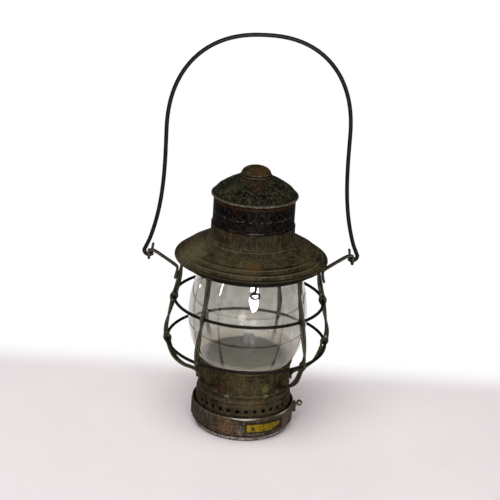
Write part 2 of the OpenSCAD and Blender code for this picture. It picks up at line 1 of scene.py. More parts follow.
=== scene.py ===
# Railroad hand lantern: aged metal, blown glass, twisted guard wires, solder and the photo's camera
import json
import math
import random

import bmesh
import bpy
from mathutils import Matrix, Vector, noise


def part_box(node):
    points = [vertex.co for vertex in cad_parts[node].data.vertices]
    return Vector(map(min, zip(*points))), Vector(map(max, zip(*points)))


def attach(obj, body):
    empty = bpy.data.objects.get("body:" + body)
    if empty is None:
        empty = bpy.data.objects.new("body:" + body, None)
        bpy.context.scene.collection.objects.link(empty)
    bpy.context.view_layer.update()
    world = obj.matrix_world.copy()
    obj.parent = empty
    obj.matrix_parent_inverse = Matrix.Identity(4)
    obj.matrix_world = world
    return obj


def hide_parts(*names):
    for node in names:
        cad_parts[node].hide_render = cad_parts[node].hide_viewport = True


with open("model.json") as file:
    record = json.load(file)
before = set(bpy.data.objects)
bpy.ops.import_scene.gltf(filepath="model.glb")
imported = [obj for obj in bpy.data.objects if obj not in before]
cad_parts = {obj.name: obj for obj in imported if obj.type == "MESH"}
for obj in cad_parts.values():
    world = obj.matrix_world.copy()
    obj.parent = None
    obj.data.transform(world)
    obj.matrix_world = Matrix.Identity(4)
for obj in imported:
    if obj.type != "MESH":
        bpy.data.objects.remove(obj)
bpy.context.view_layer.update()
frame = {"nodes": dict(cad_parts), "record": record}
NODES = frame["nodes"]
MM = 0.001

# Camera, fitted to the circles of the rims and rings in the photo
PHOTO_PX = 500
FOCAL_PX = 1400
SENSOR_MM = 36
CAMERA_PLACE = Vector((-0.1087, -1.2275, 0.6352))
YAW = math.radians(4.989)
PITCH = math.radians(20.386)
ROLL = math.radians(3.499)


def add_camera():
    forward = Vector((math.sin(YAW) * math.cos(PITCH), math.cos(YAW) * math.cos(PITCH), -math.sin(PITCH)))
    level_right = Vector((math.cos(YAW), -math.sin(YAW), 0))
    level_up = level_right.cross(forward)
    right = level_right * math.cos(ROLL) + level_up * math.sin(ROLL)
    up = level_up * math.cos(ROLL) - level_right * math.sin(ROLL)
    axes = Matrix((right, up, -forward)).transposed().to_4x4()
    axes.translation = CAMERA_PLACE
    data = bpy.data.cameras.new("photo_camera")
    data.sensor_width = SENSOR_MM
    data.lens = FOCAL_PX / PHOTO_PX * SENSOR_MM
    data.clip_start = 0.01
    camera = bpy.data.objects.new("photo_camera", data)
    camera.matrix_world = axes
    bpy.context.scene.collection.objects.link(camera)
    bpy.context.scene.camera = camera


# Material graphs


class Graph:
    """A material's nodes, written as short calls. Places are metres in the lantern's own frame."""

    def __init__(self, name):
        self.material = bpy.data.materials.new(name)
        self.material.use_nodes = True
        self.tree = self.material.node_tree
        self.tree.nodes.clear()
        self.output = self.node("ShaderNodeOutputMaterial")
        self.place = self.node("ShaderNodeTexCoord").outputs["Object"]
        split = self.node("ShaderNodeSeparateXYZ")
        self.put(split.inputs[0], self.place)
        self.x, self.y, self.z = split.outputs
        self.radius = self.math("SQRT", self.math("ADD", self.math("MULTIPLY", self.x, self.x),
                                                  self.math("MULTIPLY", self.y, self.y)))
        safe = self.math("MAXIMUM", self.radius, 0.1 * MM)
        self.unit_x = self.math("DIVIDE", self.x, safe)
        self.unit_y = self.math("DIVIDE", self.y, safe)

    def node(self, kind, **settings):
        made = self.tree.nodes.new(kind)
        for key, value in settings.items():
            setattr(made, key, value)
        return made

    def put(self, socket, value):
        if isinstance(value, bpy.types.NodeSocket):
            self.tree.links.new(value, socket)
        else:
            socket.default_value = value

    def math(self, operation, a, b=0.0, clamp=False):
        made = self.node("ShaderNodeMath", operation=operation, use_clamp=clamp)
        self.put(made.inputs[0], a)
        self.put(made.inputs[1], b)
        return made.outputs[0]

    def vector(self, x, y, z):
        made = self.node("ShaderNodeCombineXYZ")
        for socket, value in zip(made.inputs, (x, y, z)):
            self.put(socket, value)
        return made.outputs[0]

    def noise(self, scale, detail=5.0, roughness=0.6, place=None, distortion=0.0):
        made = self.node("ShaderNodeTexNoise")
        self.put(made.inputs["Vector"], place or self.place)
        made.inputs["Scale"].default_value = scale
        made.inputs["Detail"].default_value = detail
        made.inputs["Roughness"].default_value = roughness
        made.inputs["Distortion"].default_value = distortion
        return made.outputs["Fac"]

    def turned(self, around, rise=0.0, outward=0.0):
        """A place that changes `around` cells a radian, and `rise` and `outward` cells a metre, with no seam."""
        along = self.math("ADD", self.math("MULTIPLY", self.z, rise), self.math("MULTIPLY", self.radius, outward))
        return self.vector(self.math("MULTIPLY", self.unit_x, around), self.math("MULTIPLY", self.unit_y, around),
                           along)

    def step(self, value, low, high):
        """0 at low, 1 at high, smooth between; high may be the lower one."""
        made = self.node("ShaderNodeMapRange", interpolation_type="SMOOTHSTEP")
        self.put(made.inputs["Value"], value)
        rising = high > low
        made.inputs["From Min"].default_value = low if rising else high
        made.inputs["From Max"].default_value = high if rising else low
        made.inputs["To Min"].default_value = 0.0 if rising else 1.0
        made.inputs["To Max"].default_value = 1.0 if rising else 0.0
        return made.outputs["Result"]

    def band(self, value, low, high, soft):
        return self.math("MULTIPLY", self.step(value, low - soft, low + soft),
                         self.step(value, high + soft, high - soft))

    def both(self, a, b):
        return self.math("MULTIPLY", a, b)

    def mix(self, factor, a, b):
        made = self.node("ShaderNodeMix", data_type="RGBA")
        self.put(made.inputs[0], factor)
        self.put(made.inputs[6], a)
        self.put(made.inputs[7], b)
        return made.outputs[2]

    def blend(self, factor, a, b):
        made = self.node("ShaderNodeMix", data_type="FLOAT")
        self.put(made.inputs[0], factor)
        self.put(made.inputs[2], a)
        self.put(made.inputs[3], b)
        return made.outputs[0]

    def bump(self, height, distance, strength=1.0, under=None):
        made = self.node("ShaderNodeBump")
        made.inputs["Strength"].default_value = strength
        made.inputs["Distance"].default_value = distance
        self.put(made.inputs["Height"], height)
        if under:
            self.put(made.inputs["Normal"], under)
        return made.outputs["Normal"]

    def shader(self, **values):
        made = self.node("ShaderNodeBsdfPrincipled")
        for key, value in values.items():
            self.put(made.inputs[key.replace("_", " ")], value)
        return made

    def finish(self, shader):
        self.tree.links.new(shader.outputs[0], self.output.inputs["Surface"])
        return self.material


def colour(red, green, blue):
    return (red, green, blue, 1.0)


RUST = colour(0.07, 0.026, 0.007)
RUST_DARK = colour(0.028, 0.01, 0.005)
HIGHLIGHT_PALE = colour(0.3, 0.28, 0.25)
BLACK = colour(0.004, 0.0035, 0.003)


def weathered(name, base, light, dark, rust=RUST, rust_share=0.4, metal=0.04, rough=(0.5, 0.85), marks=(),
              grain=1.0, lines=(), shine=0.012, speckle=1.0):
    """Old tinned sheet: cloudy base, blotches, grime, rust freckles, scratch lines and pits."""
    g = Graph(name)
    cloud = g.noise(34, 6, 0.62)
    blotch = g.noise(110, 5, 0.62, distortion=0.5)
    middle = g.noise(330, 6, 0.7)
    fine = g.noise(620, 6, 0.7)
    tone = g.mix(g.step(cloud, 0.42, 0.58), dark, base)
    tone = g.mix(g.both(g.step(blotch, 0.53, 0.63), 0.5 * speckle), tone, light)
    tone = g.mix(g.both(g.step(blotch, 0.46, 0.38), 0.65 * speckle), tone, dark)
    tone = g.mix(g.both(g.step(middle, 0.52, 0.6), 0.85 * speckle), tone, light)
    tone = g.mix(g.both(g.step(middle, 0.48, 0.4), 0.9 * speckle), tone, dark)
    tone = g.mix(g.both(g.step(fine, 0.54, 0.63), 0.7 * speckle), tone, light)
    tone = g.mix(g.both(g.step(fine, 0.46, 0.37), 0.7 * speckle), tone, dark)
    # Scratch lines lie along the way that the sheet was turned or drawn
    height = g.blend(0.5, fine, middle)
    for low, high, cells, strength in lines:
        inside = g.band(g.z, low, high, 0.5 * MM)
        patchy = g.both(g.both(inside, g.step(g.noise(75, 3, 0.6), 0.36, 0.56)), strength)
        line = g.noise(1.0, 4, 0.62, place=g.turned(*cells))
        tone = g.mix(g.both(patchy, g.step(line, 0.53, 0.66)), tone, light)
        tone = g.mix(g.both(patchy, g.step(line, 0.47, 0.34)), tone, dark)
        height = g.math("ADD", height, g.both(line, g.both(inside, 0.5)))
    # Rust comes in patches, and freckles inside them
    patch = g.step(g.noise(24, 4, 0.55, distortion=0.6), 0.62 - 0.18 * rust_share, 0.72)
    freckle = g.step(g.noise(300, 6, 0.75), 0.45, 0.62)
    rusty = g.both(patch, freckle)
    tone = g.mix(g.both(rusty, min(1.0, 0.5 + rust_share)), tone, rust)
    # Marks: stains, rust and wear, and on some parts painted highlight and painted shade
    for mask, mark_colour in marks:
        tone = g.mix(mask(g, fine), tone, mark_colour)
    normal = g.bump(height, 0.3 * MM * grain, 0.8)
    roughness = g.blend(g.step(fine, 0.35, 0.7), rough[0], rough[1])
    roughness = g.blend(rusty, roughness, 0.9)
    made = g.shader(Base_Color=tone, Metallic=metal, Roughness=roughness, Normal=normal)
    made.inputs["Specular IOR Level"].default_value = shine
    return g.finish(made)


def wear_highlight_shade_band(low, high, soft, strength, broken=(0.36, 0.62)):
    """Mask: a line between two heights, broken up by the fine noise; it carries wear, and on some parts painted
    highlight and painted shade.
    """
    def mask(g, fine):
        return g.both(g.both(g.band(g.z, low, high, soft), g.step(fine, *broken)), strength)
    return mask


def grime_shade_highlight_ring(radius, half_width, low, high, strength):
    """Mask: a ring in a step of the brim, at one distance from the middle, strongest at the front; it carries painted
    shade, painted highlight and dirt.
    """
    def mask(g, fine):
        ring = g.band(g.radius, radius - half_width, radius + half_width, half_width * 0.8)
        ring = g.both(ring, g.band(g.z, low, high, 0.5 * MM))
        # Stronger towards the front, so the painted shade and highlight show most there
        arcs = g.blend(g.step(g.unit_y, -0.4, -0.85), 0.25, 0.95)
        return g.both(g.both(g.both(ring, arcs), g.step(fine, 0.25, 0.5)), strength)
    return mask


def inside_mark(radius):
    """Mask: the brighter tin on the inside of a turned wall."""
    def mask(g, fine):
        return g.both(g.step(g.radius, radius, radius - 0.3 * MM), g.step(fine, 0.25, 0.5))
    return mask


def box_mark(node, margin):
    """Mask: grime that has gathered round a small plate, with painted shadow round it."""
    def mask(g, fine):
        low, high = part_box(node)
        across = g.band(g.x, low.x - margin, high.x + margin, 0.5 * MM)
        return g.both(g.both(across, g.band(g.z, low.z - 0.6 * margin, high.z + margin, 0.5 * MM)), 0.85)
    return mask


def patch_mark(turn, radius, height, size, strength, broken=(0.3, 0.6), tall=1.0):
    """Mask: a blotch round one place, given by its turn from the front, radius and height; it carries stains and rust,
    and on some parts a painted highlight.
    """
    place = (radius * math.sin(math.radians(turn)), -radius * math.cos(math.radians(turn)), height)

    def mask(g, fine):
        offset = g.node("ShaderNodeVectorMath", operation="SUBTRACT")
        g.put(offset.inputs[0], g.place)
        offset.inputs[1].default_value = place
        scaled = g.node("ShaderNodeVectorMath", operation="MULTIPLY")
        g.put(scaled.inputs[0], offset.outputs[0])
        scaled.inputs[1].default_value = (1.0, 1.0, 1.0 / tall)
        away = g.node("ShaderNodeVectorMath", operation="LENGTH")
        g.put(away.inputs[0], scaled.outputs[0])
        ragged = g.math("ADD", away.outputs["Value"], g.math("MULTIPLY", g.noise(130, 4, 0.6), 0.5 * size))
        near = g.step(ragged, size * 1.25, size * 0.45)
        return g.both(g.both(near, g.step(fine, *broken)), strength)
    return mask


def glass_material():
    """Old clear glass: smoky tint, made darker to carry painted shade of a shadowed wall behind it, a thin grey film of
    dust and slow waves.
    """
    g = Graph("clear_glass")
    wave = g.bump(g.noise(24, 2, 0.4, distortion=0.3), 1.5 * MM, 0.16)
    cloud = g.noise(55, 6, 0.6)
    # The tint is partly the glass's own smoke and partly painted shade
    tint = g.mix(g.step(cloud, 0.35, 0.7), colour(0.64, 0.625, 0.59), colour(0.54, 0.525, 0.495))
    glass = g.shader(Base_Color=tint, Roughness=0.005, Normal=wave)
    glass.inputs["IOR"].default_value = 1.5
    glass.inputs["Transmission Weight"].default_value = 1.0
    # The fitter, down in the collar, is the dustiest
    collar_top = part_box("base_collar")[1].z
    fitter = g.step(g.math("ADD", g.z, g.both(cloud, 4 * MM)), collar_top + 13 * MM, collar_top + 8 * MM)
    film = g.mix(fitter, colour(0.2, 0.195, 0.17), colour(0.3, 0.285, 0.235))
    dust = g.shader(Base_Color=film, Roughness=0.8)
    dust.inputs["Specular IOR Level"].default_value = 0.0
    spots = g.step(g.noise(900, 4, 0.7), 0.6, 0.75)
    amount = g.math("ADD", g.blend(g.step(cloud, 0.3, 0.7), 0.015, 0.05), g.both(spots, 0.04))
    amount = g.math("ADD", amount, g.both(fitter, 0.42))
    dusty = g.node("ShaderNodeMixShader")
    g.put(dusty.inputs[0], amount)
    g.put(dusty.inputs[1], glass.outputs[0])
    g.put(dusty.inputs[2], dust.outputs[0])
    clear = g.node("ShaderNodeBsdfTransparent")
    clear.inputs["Color"].default_value = colour(0.84, 0.83, 0.81)
    path = g.node("ShaderNodeLightPath")
    mixed = g.node("ShaderNodeMixShader")
    g.put(mixed.inputs[0], path.outputs["Is Shadow Ray"])
    g.put(mixed.inputs[1], dusty.outputs[0])
    g.put(mixed.inputs[2], clear.outputs[0])
    return g.finish(mixed)


def brass_material(name, base, dull, dirt, metal=0.3, shine=0.3):
    g = Graph(name)
    fine = g.noise(500, 7, 0.7)
    tone = g.mix(g.step(g.noise(160, 5, 0.6), 0.4, 0.6), dull, base)
    tone = g.mix(g.both(g.step(fine, 0.5, 0.64), 0.8), tone, dirt)
    normal = g.bump(fine, 0.25 * MM, 0.7)
    made = g.shader(Base_Color=tone, Metallic=metal, Roughness=g.blend(fine, 0.35, 0.75), Normal=normal)
    made.inputs["Specular IOR Level"].default_value = shine
    return g.finish(made)


def label_material():
    """Faded mustard strip with a thick dark border, rubbed in places, with a rivet at its left."""
    g = Graph("yellow_label")
    low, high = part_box("label_plate")
    fine = g.noise(700, 7, 0.7)
    cloud = g.noise(230, 5, 0.65)
    tone = g.mix(g.step(cloud, 0.4, 0.58), colour(0.115, 0.078, 0.003), colour(0.25, 0.18, 0.004))
    tone = g.mix(g.both(g.step(fine, 0.5, 0.62), 0.6), tone, colour(0.05, 0.036, 0.008))
    # Painted shade: darker towards the right end of the strip, where it curves away round the band
    tone = g.mix(g.both(g.step(g.x, low.x + 0.5 * (high.x - low.x), high.x), 0.6), tone, colour(0.06, 0.042, 0.012))
    rag = g.both(g.math("SUBTRACT", fine, 0.5), 2.4 * MM)
    ragged_z = g.math("ADD", g.z, rag)
    ragged_x = g.math("ADD", g.x, rag)
    edge = g.math("SUBTRACT", 1.0, g.band(ragged_z, low.z + 0.5 * MM, high.z - 0.6 * MM, 0.3 * MM))
    ends = g.math("SUBTRACT", 1.0, g.band(ragged_x, low.x + 0.5 * MM, high.x - 0.9 * MM, 0.3 * MM))
    rim = g.math("MAXIMUM", edge, ends)
    lost_line = g.math("MULTIPLY", g.math("SUBTRACT", ragged_x, low.x + 0.74 * (high.x - low.x)), 0.5)
    above = g.math("SUBTRACT", g.math("SUBTRACT", ragged_z, low.z), lost_line)
    rim = g.math("MAXIMUM", rim, g.step(above, 0.9 * MM, 0.2 * MM))
    tone = g.mix(g.both(rim, 0.95), tone, colour(0.014, 0.009, 0.004))
    away = g.node("ShaderNodeVectorMath", operation="DISTANCE")
    g.put(away.inputs[0], g.place)
    away.inputs[1].default_value = (low.x + 6.2 * MM, low.y + 0.4 * MM, (low.z + high.z) / 2 - 0.1 * MM)
    tone = g.mix(g.both(g.step(away.outputs["Value"], 2.0 * MM, 1.3 * MM), 0.9), tone, colour(0.02, 0.013, 0.006))
    normal = g.bump(fine, 0.2 * MM, 0.7)
    made = g.shader(Base_Color=tone, Roughness=g.blend(fine, 0.5, 0.8), Normal=normal)
    made.inputs["Specular IOR Level"].default_value = 0.02
    return g.finish(made)


def wick_material():
    """Woven cotton, charred at its top."""
    g = Graph("wick_cotton")
    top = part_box("wick")[1].z
    weave = g.noise(1.0, 2, 0.5, place=g.turned(14.0, 900.0))
    fibre = g.noise(2600, 3, 0.7)
    tone = g.mix(g.step(fibre, 0.35, 0.7), colour(0.09, 0.078, 0.055), colour(0.2, 0.175, 0.13))
    char = g.step(g.math("ADD", g.z, g.math("MULTIPLY", fibre, 2.5 * MM)), top - 4.5 * MM, top - 1.0 * MM)
    tone = g.mix(char, tone, colour(0.012, 0.011, 0.01))
    normal = g.bump(g.blend(0.4, weave, fibre), 0.25 * MM, 0.9)
    return g.finish(g.shader(Base_Color=tone, Roughness=g.blend(fibre, 0.8, 0.98), Normal=normal))


def wire_material(name, base, light, dark, rust_share, rough=(0.45, 0.75), shine=0.03, pitted=0.8,
                  lit_share=0.5):
    """Drawn wire gone dark, with worn lighter streaks and rust, a painted highlight on the side that faces front and
    up, and painted shade on the other side.
    """
    g = Graph(name)
    fine = g.noise(650, 6, 0.7)
    patch = g.noise(95, 5, 0.62)
    tone = g.mix(g.step(patch, 0.42, 0.58), dark, base)
    tone = g.mix(g.both(g.step(fine, 0.53, 0.66), 0.75), tone, light)
    rusty = g.both(g.step(g.noise(45, 4, 0.6), 0.5, 0.62), g.step(fine, 0.42, 0.58))
    tone = g.mix(g.both(rusty, rust_share), tone, RUST_DARK)
    # Painted highlight on the side that faces front and up, and painted shade on the other side
    facing = g.node("ShaderNodeVectorMath", operation="DOT_PRODUCT")
    g.put(facing.inputs[0], g.node("ShaderNodeNewGeometry").outputs["Normal"])
    front = g.math("ADD", g.both(g.unit_y, 0.35), -0.75)
    g.put(facing.inputs[1], g.vector(g.both(g.unit_x, 0.35), front, 0.55))
    faces_light = facing.outputs["Value"]
    tone = g.mix(g.both(g.both(g.step(faces_light, 0.55, 0.9), g.step(fine, 0.3, 0.55)), lit_share), tone, light)
    tone = g.mix(g.both(g.step(faces_light, 0.42, 0.0), 0.85), tone, dark)
    normal = g.bump(fine, 0.25 * MM, pitted)
    roughness = g.blend(g.step(fine, 0.35, 0.7), rough[0], rough[1])
    made = g.shader(Base_Color=tone, Metallic=0.05, Roughness=roughness, Normal=normal)
    made.inputs["Specular IOR Level"].default_value = shine
    return g.finish(made)


def solder_material(name, base, light, dark):
    """Dull solder, darker and lighter in cloudy patches."""
    g = Graph(name)
    fine = g.noise(420, 6, 0.7)
    tone = g.mix(g.step(g.noise(200, 5, 0.6), 0.42, 0.6), dark, base)
    tone = g.mix(g.both(g.step(fine, 0.57, 0.7), 0.6), tone, light)
    normal = g.bump(fine, 0.4 * MM, 0.9)
    made = g.shader(Base_Color=tone, Metallic=0.05, Roughness=g.blend(fine, 0.55, 0.85), Normal=normal)
    made.inputs["Specular IOR Level"].default_value = 0.04
    return g.finish(made)


def brim_material(name):
    low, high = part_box("hood_brim")
    edge = high.x
    lip = low.z
    shelf = lip + 19.5 * MM
    marks = []
    # Painted shade in the foot of each step of the rim, and a painted highlight on the edge outside it
    for inset, rise in ((2.5, 2.8), (7.3, 6.5), (12.3, 10.2)):
        marks.append((grime_shade_highlight_ring(edge - inset * MM, 0.8 * MM, lip, shelf, 1.0), colour(0.005, 0.004, 0.002)))
        marks.append((grime_shade_highlight_ring(edge - (inset - 1.6) * MM, 0.45 * MM, lip + (rise - 3) * MM, shelf, 0.6),
                      colour(0.1, 0.084, 0.046)))
    return weathered(
        name, colour(0.036, 0.029, 0.013), colour(0.085, 0.073, 0.04), colour(0.01, 0.0075, 0.0035),
        rust_share=0.5, speckle=0.5,
        lines=[(lip, shelf, (3.0, 0.0, 900.0), 0.5), (shelf, high.z + MM, (30.0, 45.0), 1.0)],
        marks=marks + [
            # Painted shade on the rolled lip at the outer edge
            (grime_shade_highlight_ring(edge, 0.9 * MM, lip, shelf, 0.9), colour(0.008, 0.005, 0.002)),
            # Painted shade in the groove where the brim meets the neck band, and a painted highlight on the ledge
            # outside it
            (grime_shade_highlight_ring(40.4 * MM, 0.7 * MM, shelf - MM, shelf + 3 * MM, 0.8), colour(0.01, 0.007, 0.004)),
            (grime_shade_highlight_ring(42.6 * MM, 0.5 * MM, shelf - 2 * MM, shelf + 2 * MM, 0.45), colour(0.12, 0.1, 0.06)),
            (patch_mark(0.5, 58 * MM, 182 * MM, 9 * MM, 0.7), colour(0.07, 0.033, 0.006)),
            (patch_mark(-6, 61 * MM, 180.5 * MM, 15 * MM, 0.4), colour(0.075, 0.045, 0.018)),
            (patch_mark(-34, 60 * MM, 181 * MM, 19 * MM, 0.3), colour(0.055, 0.05, 0.026)),
            (patch_mark(22, 52 * MM, 185 * MM, 11 * MM, 0.4), colour(0.02, 0.017, 0.009)),
            (patch_mark(50, 60 * MM, 181 * MM, 16 * MM, 0.35), colour(0.07, 0.038, 0.016)),
            # Painted light: a broad lighter patch on the left of the brim
            (patch_mark(-72, 62 * MM, 180 * MM, 28 * MM, 0.75), colour(0.1, 0.088, 0.047)),
            (wear_highlight_shade_band(shelf + 3 * MM, high.z, MM, 0.4, (0.2, 0.6)), colour(0.018, 0.0115, 0.0045)),
            (wear_highlight_shade_band(shelf + 1.2 * MM, shelf + 2.2 * MM, 0.3 * MM, 0.4), colour(0.12, 0.1, 0.06)),
            # Painted shade: a black line under the rolled lip
            (wear_highlight_shade_band(lip - MM, lip + 1.3 * MM, 0.35 * MM, 0.95, (0.0, 0.2)), BLACK)])


def collar_material(name):
    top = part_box("base_collar")[1].z
    return weathered(
        name, colour(0.038, 0.028, 0.011), colour(0.084, 0.068, 0.033), colour(0.01, 0.007, 0.003), rust_share=0.5,
        speckle=0.5, lines=[(10 * MM, top, (2.4, 1000.0), 0.7), (46 * MM, top, (34.0, 60.0), 0.8)],
        marks=[(wear_highlight_shade_band(27.5 * MM, 34.5 * MM, 1 * MM, 0.35, (0.2, 0.5)), colour(0.026, 0.026, 0.017)),
               # Dark lines with light bands just above them, round the rib and lower down: painted shade and painted
               # highlight
               (wear_highlight_shade_band(36.5 * MM, 37.6 * MM, 0.4 * MM, 0.6, (0.3, 0.5)), colour(0.01, 0.008, 0.005)),
               (wear_highlight_shade_band(38.2 * MM, 40.6 * MM, 0.7 * MM, 0.5), colour(0.09, 0.066, 0.052)),
               (wear_highlight_shade_band(43 * MM, 43.9 * MM, 0.35 * MM, 0.6, (0.3, 0.5)), colour(0.01, 0.008, 0.005)),
               (wear_highlight_shade_band(44.2 * MM, 45.6 * MM, 0.4 * MM, 0.45), colour(0.09, 0.076, 0.05)),
               # Painted highlight: a whitish spot on the rib
               (patch_mark(-24.5, 44.5 * MM, 44.3 * MM, 4 * MM, 0.85, (0.46, 0.56), 0.6), colour(0.3, 0.29, 0.2)),
               (patch_mark(24, 44.3 * MM, 53 * MM, 7 * MM, 0.75), colour(0.105, 0.105, 0.028)),
               # Painted highlight: a pale spot on the rib
               (patch_mark(25, 44.3 * MM, 45 * MM, 4.5 * MM, 0.7, (0.3, 0.5), 0.6), colour(0.14, 0.14, 0.06)),
               (patch_mark(-40, 44.2 * MM, 50 * MM, 10 * MM, 0.8), colour(0.022, 0.009, 0.004)),
               (patch_mark(-66, 44.2 * MM, 44 * MM, 20 * MM, 0.6), colour(0.026, 0.013, 0.004)),
               (inside_mark(43.3 * MM), colour(0.3, 0.28, 0.22)),
               (patch_mark(42, 44.2 * MM, 52 * MM, 8 * MM, 0.7), colour(0.024, 0.01, 0.006)),
               (wear_highlight_shade_band(top - 1.2 * MM, top + MM, 0.4 * MM, 0.5), colour(0.07, 0.06, 0.038))])


def band_material(name):
    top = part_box("font_base")[1].z
    return weathered(
        name, colour(0.032, 0.0235, 0.0115), colour(0.1, 0.076, 0.05), colour(0.008, 0.006, 0.003), rust_share=0.6,
        rough=(0.5, 0.85), shine=0.03, lines=[(6 * MM, top, (22.0, 60.0), 0.6), (6 * MM, top, (2.0, 900.0), 0.45)],
        marks=[(patch_mark(-22, 49 * MM, 15 * MM, 16 * MM, 0.7), colour(0.125, 0.066, 0.03)),
               (patch_mark(-50, 49 * MM, 15 * MM, 14 * MM, 0.6), colour(0.024, 0.026, 0.017)),
               (patch_mark(52, 49 * MM, 15 * MM, 17 * MM, 0.55), colour(0.11, 0.08, 0.05)),
               # Painted highlight: a pale upright streak on the front of the band
               (patch_mark(-5, 49 * MM, 10.5 * MM, 3.4 * MM, 0.6, (0.35, 0.6), 2.4), colour(0.2, 0.165, 0.14)),
               # Grime and painted shadow round the label plate
               (box_mark("label_plate", 1.6 * MM), colour(0.012, 0.008, 0.004)),
               (wear_highlight_shade_band(5.6 * MM, 7.0 * MM, 0.35 * MM, 0.9, (0.1, 0.4)), BLACK),
               # Painted highlight along the band's rolled top edge, brightest at the front and on the right
               (wear_highlight_shade_band(top - 0.9 * MM, top + 0.4 * MM, 0.3 * MM, 0.5, (0.4, 0.56)), colour(0.17, 0.15, 0.12)),
               (patch_mark(-2, 49 * MM, top, 17 * MM, 0.85, (0.2, 0.42), 0.13), colour(0.62, 0.58, 0.5)),
               (patch_mark(48, 49 * MM, top, 12 * MM, 0.7, (0.3, 0.5), 0.13), colour(0.5, 0.47, 0.4)),
               (wear_highlight_shade_band(-MM, 3.4 * MM, 0.3 * MM, 0.85, (0.43, 0.53)), colour(0.33, 0.29, 0.26)),
               (wear_highlight_shade_band(3.4 * MM, 4.2 * MM, 0.3 * MM, 0.9, (0.1, 0.4)), BLACK),
               (wear_highlight_shade_band(-MM, 0.7 * MM, 0.3 * MM, 0.9, (0.2, 0.45)), BLACK)])


def neck_material(name):
    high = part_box("vent_neck")[1].z
    band_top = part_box("hood_brim")[1].z
    return weathered(
        name, colour(0.0028, 0.002, 0.0014), colour(0.019, 0.014, 0.0115), colour(0.001, 0.0008, 0.0006), rust_share=0.3,
        rust=RUST_DARK, rough=(0.5, 0.8), shine=0.008, lines=[(band_top, high, (16.0, 420.0), 0.6)],
        marks=[(wear_highlight_shade_band(high - 4.5 * MM, high, 1.8 * MM, 0.6, (0.4, 0.6)), colour(0.02, 0.009, 0.005)),
               (wear_highlight_shade_band(high - 3.4 * MM, high - 0.4 * MM, 0.6 * MM, 0.6), colour(0.06, 0.024, 0.009)),
               # Painted highlight: pale glints in a row round the neck
               (wear_highlight_shade_band(high - 14.8 * MM, high - 13.4 * MM, 0.3 * MM, 0.75, (0.56, 0.62)), colour(0.17, 0.165, 0.15)),
               # Painted highlight on the neck's bottom bead, strongest at the front
               (patch_mark(-2, 39 * MM, band_top + 1.5 * MM, 11 * MM, 0.8, (0.5, 0.56), 0.11), colour(0.2, 0.165, 0.18)),
               (patch_mark(-33, 39 * MM, band_top + 2 * MM, 8 * MM, 0.6, (0.52, 0.58), 0.2), colour(0.1, 0.095, 0.09)),
               (patch_mark(38, 39 * MM, band_top + 2 * MM, 8 * MM, 0.6, (0.52, 0.58), 0.2), colour(0.1, 0.095, 0.09))])


def cap_material(name):
    low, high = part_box("hood_cap")
    return weathered(
        name, colour(0.0105, 0.01, 0.0046), colour(0.044, 0.042, 0.024), colour(0.003, 0.0027, 0.0015),
        rust=RUST_DARK, rust_share=0.3, rough=(0.5, 0.8), lines=[(low.z, high.z, (12.0, 0.0, 300.0), 0.45)],
        marks=[(patch_mark(0, 22 * MM, high.z - 5 * MM, 12 * MM, 0.6), colour(0.034, 0.02, 0.008)),
               (patch_mark(-48, 26 * MM, high.z - 7 * MM, 13 * MM, 0.4), colour(0.034, 0.035, 0.02)),
               (wear_highlight_shade_band(low.z + 0.4 * MM, low.z + 2.3 * MM, 0.3 * MM, 0.75, (0.3, 0.5)), colour(0.07, 0.067, 0.046)),
               (wear_highlight_shade_band(low.z + 2.8 * MM, low.z + 3.6 * MM, 0.3 * MM, 0.7, (0.2, 0.45)), colour(0.004, 0.004, 0.002)),
               # Painted highlight on the rim's bead, and painted shade in a black line under it
               (wear_highlight_shade_band(low.z + 0.7 * MM, low.z + 1.4 * MM, 0.2 * MM, 0.75, (0.53, 0.58)), HIGHLIGHT_PALE),
               (wear_highlight_shade_band(low.z - MM, low.z + 0.35 * MM, 0.2 * MM, 0.95, (0.0, 0.2)), BLACK)])


def button_material(name):
    low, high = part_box("cap_button")
    return weathered(
        name, colour(0.03, 0.021, 0.007), colour(0.07, 0.052, 0.017), colour(0.009, 0.007, 0.0035),
        rust=colour(0.1, 0.035, 0.006), rust_share=0.5,
        marks=[(patch_mark(10, 9 * MM, high.z - 2.5 * MM, 8 * MM, 0.7), colour(0.07, 0.028, 0.006)),
               (wear_highlight_shade_band(low.z + 1.5 * MM, low.z + 3.4 * MM, 0.5 * MM, 0.8, (0.2, 0.45)), colour(0.007, 0.005, 0.003)),
               (wear_highlight_shade_band(low.z + 0.2 * MM, low.z + 0.9 * MM, 0.2 * MM, 0.8, (0.46, 0.56)), colour(0.2, 0.18, 0.11)),
               (wear_highlight_shade_band(low.z + 2.9 * MM, low.z + 3.5 * MM, 0.2 * MM, 0.7, (0.44, 0.56)), colour(0.13, 0.11, 0.06))])


def font_top_material(name):
    """Soot and green-grey bloom on the dome under the flame, with a dark rim."""
    low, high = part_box("font_top")
    rim = high.x
    return weathered(
        name, colour(0.035, 0.036, 0.022), colour(0.075, 0.075, 0.05), colour(0.014, 0.014, 0.009),
        rust_share=0.15,
        marks=[(grime_shade_highlight_ring(rim - 3.5 * MM, 3.5 * MM, low.z - MM, high.z + MM, 0.85), colour(0.028, 0.029, 0.02)),
               (grime_shade_highlight_ring(rim - 13 * MM, 1.2 * MM, low.z - MM, high.z + MM, 0.6), colour(0.035, 0.034, 0.025))])


